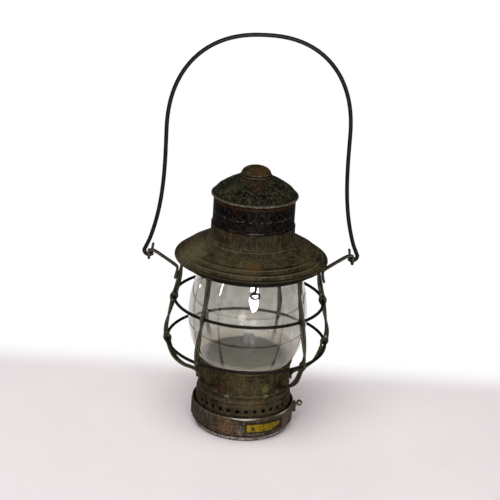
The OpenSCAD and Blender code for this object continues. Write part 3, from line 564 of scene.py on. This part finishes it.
def finishes():
    """A material for each of the record's slots, and for the nodes that have marks of their own."""
    made = {}
    made["olive_sheet"] = weathered("olive_sheet", colour(0.036, 0.028, 0.013), colour(0.085, 0.07, 0.04),
                                    colour(0.01, 0.0075, 0.004), rust_share=0.4)
    made["hood_brim"] = brim_material("brim_sheet")
    made["base_collar"] = collar_material("collar_sheet")
    made["sooty_sheet"] = neck_material("sooty_sheet")
    made["cap_sheet"] = cap_material("cap_sheet")
    made["rusty_sheet"] = button_material("rusty_sheet")
    made["base_sheet"] = band_material("base_sheet")
    made["inner_sheet"] = weathered(
        "inner_sheet", colour(0.1, 0.094, 0.075), colour(0.17, 0.16, 0.13), colour(0.04, 0.036, 0.028),
        rust_share=0.25)
    made["font_top"] = font_top_material("sooty_dome")
    made["olive_wire"] = wire_material("olive_wire", colour(0.02, 0.0165, 0.008), colour(0.085, 0.074, 0.042),
                                       colour(0.004, 0.003, 0.0015), 0.5)
    made["dark_wire"] = wire_material("dark_wire", colour(0.005, 0.004, 0.0028), colour(0.018, 0.015, 0.011),
                                      colour(0.002, 0.0017, 0.0012), 0.35, shine=0.008)
    made["bail"] = wire_material("bail_wire", colour(0.004, 0.0034, 0.0028), colour(0.008, 0.007, 0.0055),
                                 colour(0.0018, 0.0016, 0.0014), 0.15, (0.42, 0.6), 0.03, 0.25, 0.3)
    made["burner_brass"] = brass_material("burner_brass", colour(0.03, 0.025, 0.018), colour(0.014, 0.012, 0.009),
                                          colour(0.005, 0.004, 0.003), 0.08, 0.03)
    made["pin_brass"] = brass_material("pin_brass", colour(0.07, 0.035, 0.01), colour(0.035, 0.02, 0.008),
                                       colour(0.01, 0.007, 0.004))
    made["yellow_label"] = label_material()
    made["wick_cotton"] = wick_material()
    made["clear_glass"] = glass_material()
    made["solder"] = solder_material("old_solder", colour(0.04, 0.034, 0.02), colour(0.12, 0.11, 0.075),
                                     colour(0.009, 0.007, 0.004))
    made["foot_solder"] = solder_material("rusty_solder", colour(0.034, 0.0125, 0.0045), colour(0.055, 0.026, 0.01),
                                          colour(0.012, 0.0045, 0.002))
    return made


# Mesh helpers


def unit_or(vector, other):
    return vector.normalized() if vector.length > 1e-9 else other


def catmull(a, b, c, d, t):
    return ((2 * b) + (c - a) * t + (2 * a - 5 * b + 4 * c - d) * t * t + (3 * b - a - 3 * c + d) * t ** 3) / 2


def spline(points, steps):
    last = len(points) - 1
    made = []
    for i in range(last):
        a, b, c, d = (points[min(max(k, 0), last)] for k in (i - 1, i, i + 1, i + 2))
        made += [catmull(a, b, c, d, k / steps) for k in range(steps)]
    return made + [points[-1]]


def add_tube(bm, path, radius, sides=14, wobble=0.0, closed=False):
    """Round wire along a path, with rounded ends and the slight unevenness of drawn wire."""
    count = len(path)
    tangents = []
    for i in range(count):
        ahead = path[(i + 1) % count] if closed else path[min(i + 1, count - 1)]
        behind = path[i - 1] if closed else path[max(i - 1, 0)]
        tangents.append((ahead - behind).normalized())
    side = tangents[0].orthogonal().normalized()
    rings = []
    for i, (point, tangent) in enumerate(zip(path, tangents)):
        side = unit_or(side - tangent * side.dot(tangent), tangent.orthogonal())
        other = tangent.cross(side)
        thick = radius * (1 + wobble * noise.noise(point * 260))
        rings.append([bm.verts.new(point + thick * (side * math.cos(a) + other * math.sin(a)))
                      for a in (2 * math.pi * k / sides for k in range(sides))])
    spans = list(zip(rings, rings[1:] + rings[:1])) if closed else list(zip(rings, rings[1:]))
    for first, second in spans:
        for k in range(sides):
            n = (k + 1) % sides
            bm.faces.new((first[k], first[n], second[n], second[k]))
    if not closed:
        for ring, centre, outward in ((rings[0], path[0], -tangents[0]), (rings[-1], path[-1], tangents[-1])):
            add_round_end(bm, ring, centre, outward, radius, outward is tangents[-1])
    return rings


def add_round_end(bm, ring, centre, outward, radius, forward, rings=3):
    previous = ring
    for step in range(1, rings + 1):
        lift = math.pi / 2 * step / (rings + 1)
        current = [bm.verts.new(centre + (v.co - centre) * math.cos(lift) + outward * radius * 0.8 * math.sin(lift))
                   for v in ring]
        for k in range(len(ring)):
            n = (k + 1) % len(ring)
            face = (previous[k], previous[n], current[n], current[k])
            bm.faces.new(face if forward else face[::-1])
        previous = current
    bm.faces.new(previous if forward else previous[::-1])


def piece(name, bm, material, body, replaces=()):
    """Turns a bmesh into a finished object that rides on a body."""
    bmesh.ops.recalc_face_normals(bm, faces=bm.faces)
    mesh = bpy.data.meshes.new(name)
    bm.to_mesh(mesh)
    bm.free()
    for face in mesh.polygons:
        face.use_smooth = True
    made = bpy.data.objects.new(name, mesh)
    bpy.context.scene.collection.objects.link(made)
    made.data.materials.append(material)
    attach(made, body)
    if replaces:
        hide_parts(*replaces)
    return made


# Guard: rings, twisted uprights and solder, from the rings' own boxes


def ring_size(node):
    low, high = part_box(node)
    wire = high.z - low.z
    return high.x - wire / 2, (low.z + high.z) / 2, wire


TOP_R, TOP_Z, RING_WIRE = ring_size("guard_top_ring")
UPPER_R, UPPER_Z, _ = ring_size("guard_upper_ring")
LOWER_R, LOWER_Z, _ = ring_size("guard_lower_ring")
STRAND_D = 2.5 * MM
SEAT = 0.25 * MM
COLLAR_R = 44 * MM
RIB_Z = 44.6 * MM
FRONT_TURN = 40
REAR_TURN = 150
UPRIGHTS = {"front_left": -FRONT_TURN, "front_right": FRONT_TURN, "side_left": -90, "side_right": 90,
            "rear_left": -REAR_TURN, "rear_right": REAR_TURN}


def upright_line():
    """Middle line of an upright pair as (radius, height), from the top ring to its foot on the collar."""
    top = TOP_R + (RING_WIRE + STRAND_D) / 2 + SEAT
    foot = COLLAR_R + STRAND_D / 2 + SEAT
    bend_r, bend_z = foot + 4.2 * MM, RIB_Z + 9.6 * MM
    top_rise, mid_rise = TOP_Z - UPPER_Z, UPPER_Z - LOWER_Z
    span_r, span_z = LOWER_R - bend_r, LOWER_Z - bend_z
    points = [(top, TOP_Z + 3 * MM), (top, TOP_Z - 0.13 * top_rise), (top + 1 * MM, TOP_Z - 0.38 * top_rise),
              (UPPER_R - 2.9 * MM, UPPER_Z + 0.33 * top_rise), (UPPER_R, UPPER_Z),
              (LOWER_R - 0.6 * MM, UPPER_Z - 0.44 * mid_rise), (LOWER_R + 1.6 * MM, LOWER_Z + 0.25 * mid_rise),
              (LOWER_R, LOWER_Z), (bend_r + 0.76 * span_r, bend_z + 0.45 * span_z),
              (bend_r + 0.4 * span_r, bend_z + 0.14 * span_z), (bend_r, bend_z), (foot + 0.2 * MM, RIB_Z + 6 * MM),
              (foot, RIB_Z + 1.8 * MM)]
    return spline([Vector((r, 0, z)) for r, z in points], 9)


def eased(share):
    share = min(1, max(0, share))
    return share * share * (3 - 2 * share)


def pair_turn(z):
    """Turn of the two strands: in and out at each ring, a half turn between, side by side at both ends."""
    if z > UPPER_Z:
        return -90 * eased((z - UPPER_Z - 10 * MM) / (TOP_Z - UPPER_Z - 14 * MM))
    if z > LOWER_Z:
        return 180 * (UPPER_Z - z) / (UPPER_Z - LOWER_Z)
    return 180 + 90 * eased((LOWER_Z - z - 8 * MM) / (LOWER_Z - RIB_Z - 16 * MM))


def pair_half(z):
    """Half the distance between the strands: touching, and apart where a ring passes between them."""
    close = (STRAND_D + 0.02 * MM) / 2
    wide = (STRAND_D + RING_WIRE) / 2 + 0.15 * MM
    knots = sum(math.exp(-((z - ring_z) / (3.1 * MM)) ** 2) for ring_z in (UPPER_Z, LOWER_Z))
    return close + (wide - close) * min(1, knots)


def build_upright(name, degrees, material):
    line = upright_line()
    spin = Matrix.Rotation(math.radians(degrees - 90), 3, "Z")
    bm = bmesh.new()
    for start in (0, 180):
        path = []
        for i, point in enumerate(line):
            along = (line[min(i + 1, len(line) - 1)] - line[max(i - 1, 0)]).normalized()
            turn = math.radians(pair_turn(point.z) + start)
            half = pair_half(point.z)
            out = half * math.cos(turn)
            path.append(spin @ Vector((point.x - out * along.z, half * math.sin(turn), point.z + out * along.x)))
        add_tube(bm, path, STRAND_D / 2, wobble=0.05)
    return piece("twisted_" + name, bm, material, "frame", ("guard_" + name,))


def add_lump(bm, centre, size, turn, seed, detail=3):
    """A blob of solder, sized outward, across and up: a rounded lump with an uneven skin."""
    start = len(bm.verts)
    spin = Matrix.Rotation(turn, 3, "Z")
    bmesh.ops.create_icosphere(bm, subdivisions=detail, radius=1.0)
    bm.verts.ensure_lookup_table()
    for vert in bm.verts[start:]:
        swell = 1 + 0.2 * noise.noise(vert.co * 1.7 + Vector((seed, 0, 0))) + 0.08 * noise.noise(vert.co * 5)
        vert.co = centre + spin @ Vector(c * s * swell for c, s in zip(vert.co, size))


def build_solder(material, foot_material):
    """Solder in each crossing of an upright and a ring, and the flattened pads that hold the feet."""
    crossings = (("top", TOP_R + 1.2 * MM, TOP_Z, (2.4, 2.4, 1.9)), ("upper", UPPER_R, UPPER_Z, (3.7, 2.3, 4.2)),
                 ("lower", LOWER_R, LOWER_Z, (3.7, 2.3, 4.2)))
    for ring, radius, z, size in crossings:
        bm = bmesh.new()
        for k, degrees in enumerate(UPRIGHTS.values()):
            turn = math.radians(degrees - 90)
            centre = Vector((radius * math.cos(turn), radius * math.sin(turn), z))
            add_lump(bm, centre, [s * MM for s in size], turn, k + z * 100)
        piece("solder_" + ring, bm, material, "frame")
    bm = bmesh.new()
    for k, degrees in enumerate(UPRIGHTS.values()):
        turn = math.radians(degrees + 2 - 90)
        centre = Vector((COLLAR_R * math.cos(turn), COLLAR_R * math.sin(turn), RIB_Z + 5.4 * MM))
        add_lump(bm, centre, (1.9 * MM, 7.4 * MM, 2.9 * MM), turn, 7.3 + k)
    piece("solder_feet", bm, foot_material, "frame")


# Globe

GLOBE_TOP_R = 41.8 * MM
FITTER_R = COLLAR_R - 3.5 * MM
GLASS_T = 1.7 * MM


def build_globe(material):
    """The blown globe as one smooth turned wall."""
    low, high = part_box("glass_globe")
    widest, tall = high.x, high.z - low.z
    line = [(FITTER_R, 0), (FITTER_R, 0.09), (FITTER_R + 1.7 * MM, 0.125), (0.84 * widest, 0.176),
            (0.927 * widest, 0.262), (0.985 * widest, 0.37), (widest, 0.47), (0.982 * widest, 0.585),
            (0.925 * widest, 0.7), (0.84 * widest, 0.805), (GLOBE_TOP_R + 1.2 * MM, 0.888), (GLOBE_TOP_R, 0.94),
            (GLOBE_TOP_R, 1)]
    outer = spline([Vector((r, 0, low.z + share * tall)) for r, share in line], 10)
    inner = []
    for i, point in enumerate(outer):
        along = (outer[min(i + 1, len(outer) - 1)] - outer[max(i - 1, 0)]).normalized()
        inner.append(point + GLASS_T * Vector((-along.z, 0, along.x)))
    wall = outer + inner[::-1]
    bm = bmesh.new()
    spokes = 180
    rings = []
    for point in wall:
        rings.append([bm.verts.new((point.x * math.cos(a), point.x * math.sin(a), point.z))
                      for a in (2 * math.pi * k / spokes for k in range(spokes))])
    for first, second in zip(rings, rings[1:] + rings[:1]):
        for k in range(spokes):
            n = (k + 1) % spokes
            bm.faces.new((first[k], first[n], second[n], second[k]))
    piece("blown_globe", bm, material, "frame", ("glass_globe",))


# Ears and bail

BRIM_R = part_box("hood_brim")[1].x
PIVOT_Z = TOP_Z + 4 * MM
EYE_X = BRIM_R + 23.9 * MM
EYE_R = 3.9 * MM
BAIL_WIRE = 3.8 * MM
HANG_GAP = 0.35 * MM
EYE_Z = PIVOT_Z + EYE_R - (BAIL_WIRE + STRAND_D) / 2 - HANG_GAP
HOOK_R = 4.4 * MM
BAIL_HALF = 84 * MM
BAIL_SHOULDER = PIVOT_Z + 120 * MM
BAIL_TOP = PIVOT_Z + 211.5 * MM
BAIL_FLARE = EYE_X - BAIL_HALF
LEG_BOTTOM = PIVOT_Z + 15 * MM
ARCH_POWER = 2.3


def against_pair(z):
    """Radius at which a wire lies against the outside of an upright pair."""
    line = upright_line()
    above, below = next((a, b) for a, b in zip(line, line[1:]) if b.z <= z <= a.z)
    share = (above.z - z) / (above.z - below.z)
    radius = above.x + (below.x - above.x) * share
    return radius + pair_half(z) * abs(math.cos(math.radians(pair_turn(z)))) + STRAND_D + SEAT


def build_ear(side, material):
    half = (STRAND_D + 0.02 * MM) / 2
    drop = 18.5 * MM
    line = []
    for share, out in ((1, 0.1), (0.75, 0.1), (0.52, 0.5), (0.33, 2.7)):
        z = TOP_Z - share * drop
        line.append((against_pair(z) + out * MM, z))
    line += [(EYE_X - 13 * MM, EYE_Z - 1.6 * MM), (EYE_X - 4.6 * MM, EYE_Z + EYE_R - 0.3 * MM)]
    arm = [Vector((x, half, z)) for x, z in line]
    eye = [Vector((EYE_X, EYE_R * math.sin(a), EYE_Z + EYE_R * math.cos(a)))
           for a in (math.radians(24 + 39 * k) for k in range(9))]
    back = [Vector((x, -half, z)) for x, z in reversed(line)]
    flip = Matrix.Diagonal((side, 1, 1))
    bm = bmesh.new()
    add_tube(bm, [flip @ p for p in spline(arm + eye + back, 7)], STRAND_D / 2, wobble=0.05)
    end = [Vector((EYE_X - 3 * MM, 0, EYE_Z + EYE_R - 0.6 * MM)), Vector((EYE_X - 3 * MM, 0, EYE_Z + EYE_R + 2 * MM)),
           Vector((EYE_X - 3.7 * MM, 0, EYE_Z + EYE_R + 6.6 * MM))]
    add_tube(bm, [flip @ p for p in spline(end, 6)], STRAND_D / 2, wobble=0.05)
    name = "left" if side < 0 else "right"
    piece("doubled_ear_" + name, bm, material, "frame", ("bail_ear_" + name,))


def build_bail(material):
    hook = [Vector((EYE_X + HOOK_R * math.cos(a), 0, PIVOT_Z + HOOK_R + HOOK_R * math.sin(a)))
            for a in (math.radians(-130 + 10 * k) for k in range(15))]
    leg = []
    for k in range(13):
        z = LEG_BOTTOM + (BAIL_SHOULDER - LEG_BOTTOM) * k / 12
        flare = ((BAIL_SHOULDER - z) / (BAIL_SHOULDER - LEG_BOTTOM)) ** 3
        leg.append(Vector((BAIL_HALF + BAIL_FLARE * flare, 0, z)))
    arch = []
    for k in range(1, 30):
        t = math.radians(3 * k)
        arch.append(Vector((BAIL_HALF * math.cos(t) ** (2 / ARCH_POWER), 0,
                            BAIL_SHOULDER + (BAIL_TOP - BAIL_SHOULDER) * math.sin(t) ** (2 / ARCH_POWER))))
    half = hook + leg + arch
    mirror = Matrix.Diagonal((-1, 1, 1))
    path = [mirror @ p for p in half] + [Vector((0, 0, BAIL_TOP))] + half[::-1]
    bm = bmesh.new()
    add_tube(bm, spline(path, 3), BAIL_WIRE / 2, sides=18, wobble=0.03)
    piece("bent_bail", bm, material, "bail", ("bail",))


# Stage, lamps and world


def build_stage():
    """A pale floor that turns to plain white where the photo's wall begins."""
    g = Graph("pale_floor")
    far = g.math("ADD", g.math("MULTIPLY", g.y, math.cos(YAW)), g.math("MULTIPLY", g.x, math.sin(YAW)))
    tone = g.mix(g.step(g.noise(9, 3, 0.5), 0.3, 0.7), colour(0.83, 0.75, 0.768), colour(0.85, 0.775, 0.79))
    normal = g.bump(g.noise(900, 3, 0.5), 0.1 * MM, 0.2)
    table = g.shader(Base_Color=tone, Roughness=g.blend(g.noise(30), 0.6, 0.75), Normal=normal)
    table.inputs["Specular IOR Level"].default_value = 0.2
    white = g.node("ShaderNodeEmission")
    path = g.node("ShaderNodeLightPath")
    seen = g.math("MAXIMUM", path.outputs["Is Camera Ray"], path.outputs["Is Transmission Ray"])
    seen = g.math("MAXIMUM", seen, path.outputs["Is Glossy Ray"])
    mixed = g.node("ShaderNodeMixShader")
    g.put(mixed.inputs[0], g.both(seen, g.step(far, 0.085, 0.15)))
    g.put(mixed.inputs[1], table.outputs[0])
    g.put(mixed.inputs[2], white.outputs[0])
    g.finish(mixed)
    bm = bmesh.new()
    bmesh.ops.create_grid(bm, x_segments=24, y_segments=24, size=6.0)
    mesh = bpy.data.meshes.new("pale_floor")
    bm.to_mesh(mesh)
    bm.free()
    floor = bpy.data.objects.new("pale_floor", mesh)
    bpy.context.scene.collection.objects.link(floor)
    mesh.materials.append(g.material)


def add_lamp(name, place, target, size, power, shape="RECTANGLE", on_matt=True):
    """A lamp panel. With on_matt off, it is seen only as a reflection."""
    data = bpy.data.lights.new(name, "AREA")
    data.shape = shape
    data.size, data.size_y = size
    data.energy = power
    lamp = bpy.data.objects.new(name, data)
    lamp.location = place
    lamp.rotation_euler = (Vector(target) - Vector(place)).to_track_quat("-Z", "Y").to_euler()
    lamp.visible_diffuse = on_matt
    bpy.context.scene.collection.objects.link(lamp)


def light_scene():
    add_lamp("window_front", (0.17, -1.59, 0.55), (0, 0, 0.15), (0.52, 0.72), 200, "ELLIPSE", False)
    add_lamp("window_left", (-1.38, -0.62, 0.62), (0, 0, 0.15), (0.1, 0.5), 5, "ELLIPSE", False)
    add_lamp("window_back", (-1.3, 0.9, 0.35), (0, 0, 0.12), (0.12, 0.9), 8, "ELLIPSE", False)
    add_lamp("ceiling", (-0.3, -0.9, 1.9), (0, 0, 0.1), (1.6, 1.6), 30)
    world = bpy.data.worlds.new("soft_room")
    world.use_nodes = True
    bpy.context.scene.world = world
    tree = world.node_tree
    tree.nodes.clear()
    path = tree.nodes.new("ShaderNodeLightPath")
    seen = tree.nodes.new("ShaderNodeMath")
    seen.operation = "MAXIMUM"
    tree.links.new(path.outputs["Is Camera Ray"], seen.inputs[0])
    tree.links.new(path.outputs["Is Transmission Ray"], seen.inputs[1])
    room = tree.nodes.new("ShaderNodeBackground")
    room.inputs["Strength"].default_value = 0.6
    white = tree.nodes.new("ShaderNodeBackground")
    white.inputs["Color"].default_value = colour(1, 1, 1)
    white.inputs["Strength"].default_value = 1.0
    dim = tree.nodes.new("ShaderNodeBackground")
    dim.inputs["Strength"].default_value = 0.22
    around = tree.nodes.new("ShaderNodeMixShader")
    tree.links.new(path.outputs["Is Glossy Ray"], around.inputs[0])
    tree.links.new(room.outputs[0], around.inputs[1])
    tree.links.new(dim.outputs[0], around.inputs[2])
    mixed = tree.nodes.new("ShaderNodeMixShader")
    output = tree.nodes.new("ShaderNodeOutputWorld")
    tree.links.new(seen.outputs[0], mixed.inputs[0])
    tree.links.new(around.outputs[0], mixed.inputs[1])
    tree.links.new(white.outputs[0], mixed.inputs[2])
    tree.links.new(mixed.outputs[0], output.inputs["Surface"])
    bpy.context.scene.view_settings.view_transform = "Standard"


def main():
    random.seed(7)
    add_camera()
    finish = finishes()
    for part in frame["record"]["subparts"]:
        for material_slot in NODES[part["node"]].material_slots:
            material_slot.material = finish.get(part["node"], finish[part["material_slot"]])
    for name, degrees in UPRIGHTS.items():
        build_upright(name, degrees, finish["olive_wire"])
    build_solder(finish["solder"], finish["foot_solder"])
    build_globe(finish["clear_glass"])
    build_ear(-1, finish["olive_wire"])
    build_ear(1, finish["olive_wire"])
    build_bail(finish["bail"])
    build_stage()
    light_scene()


main()
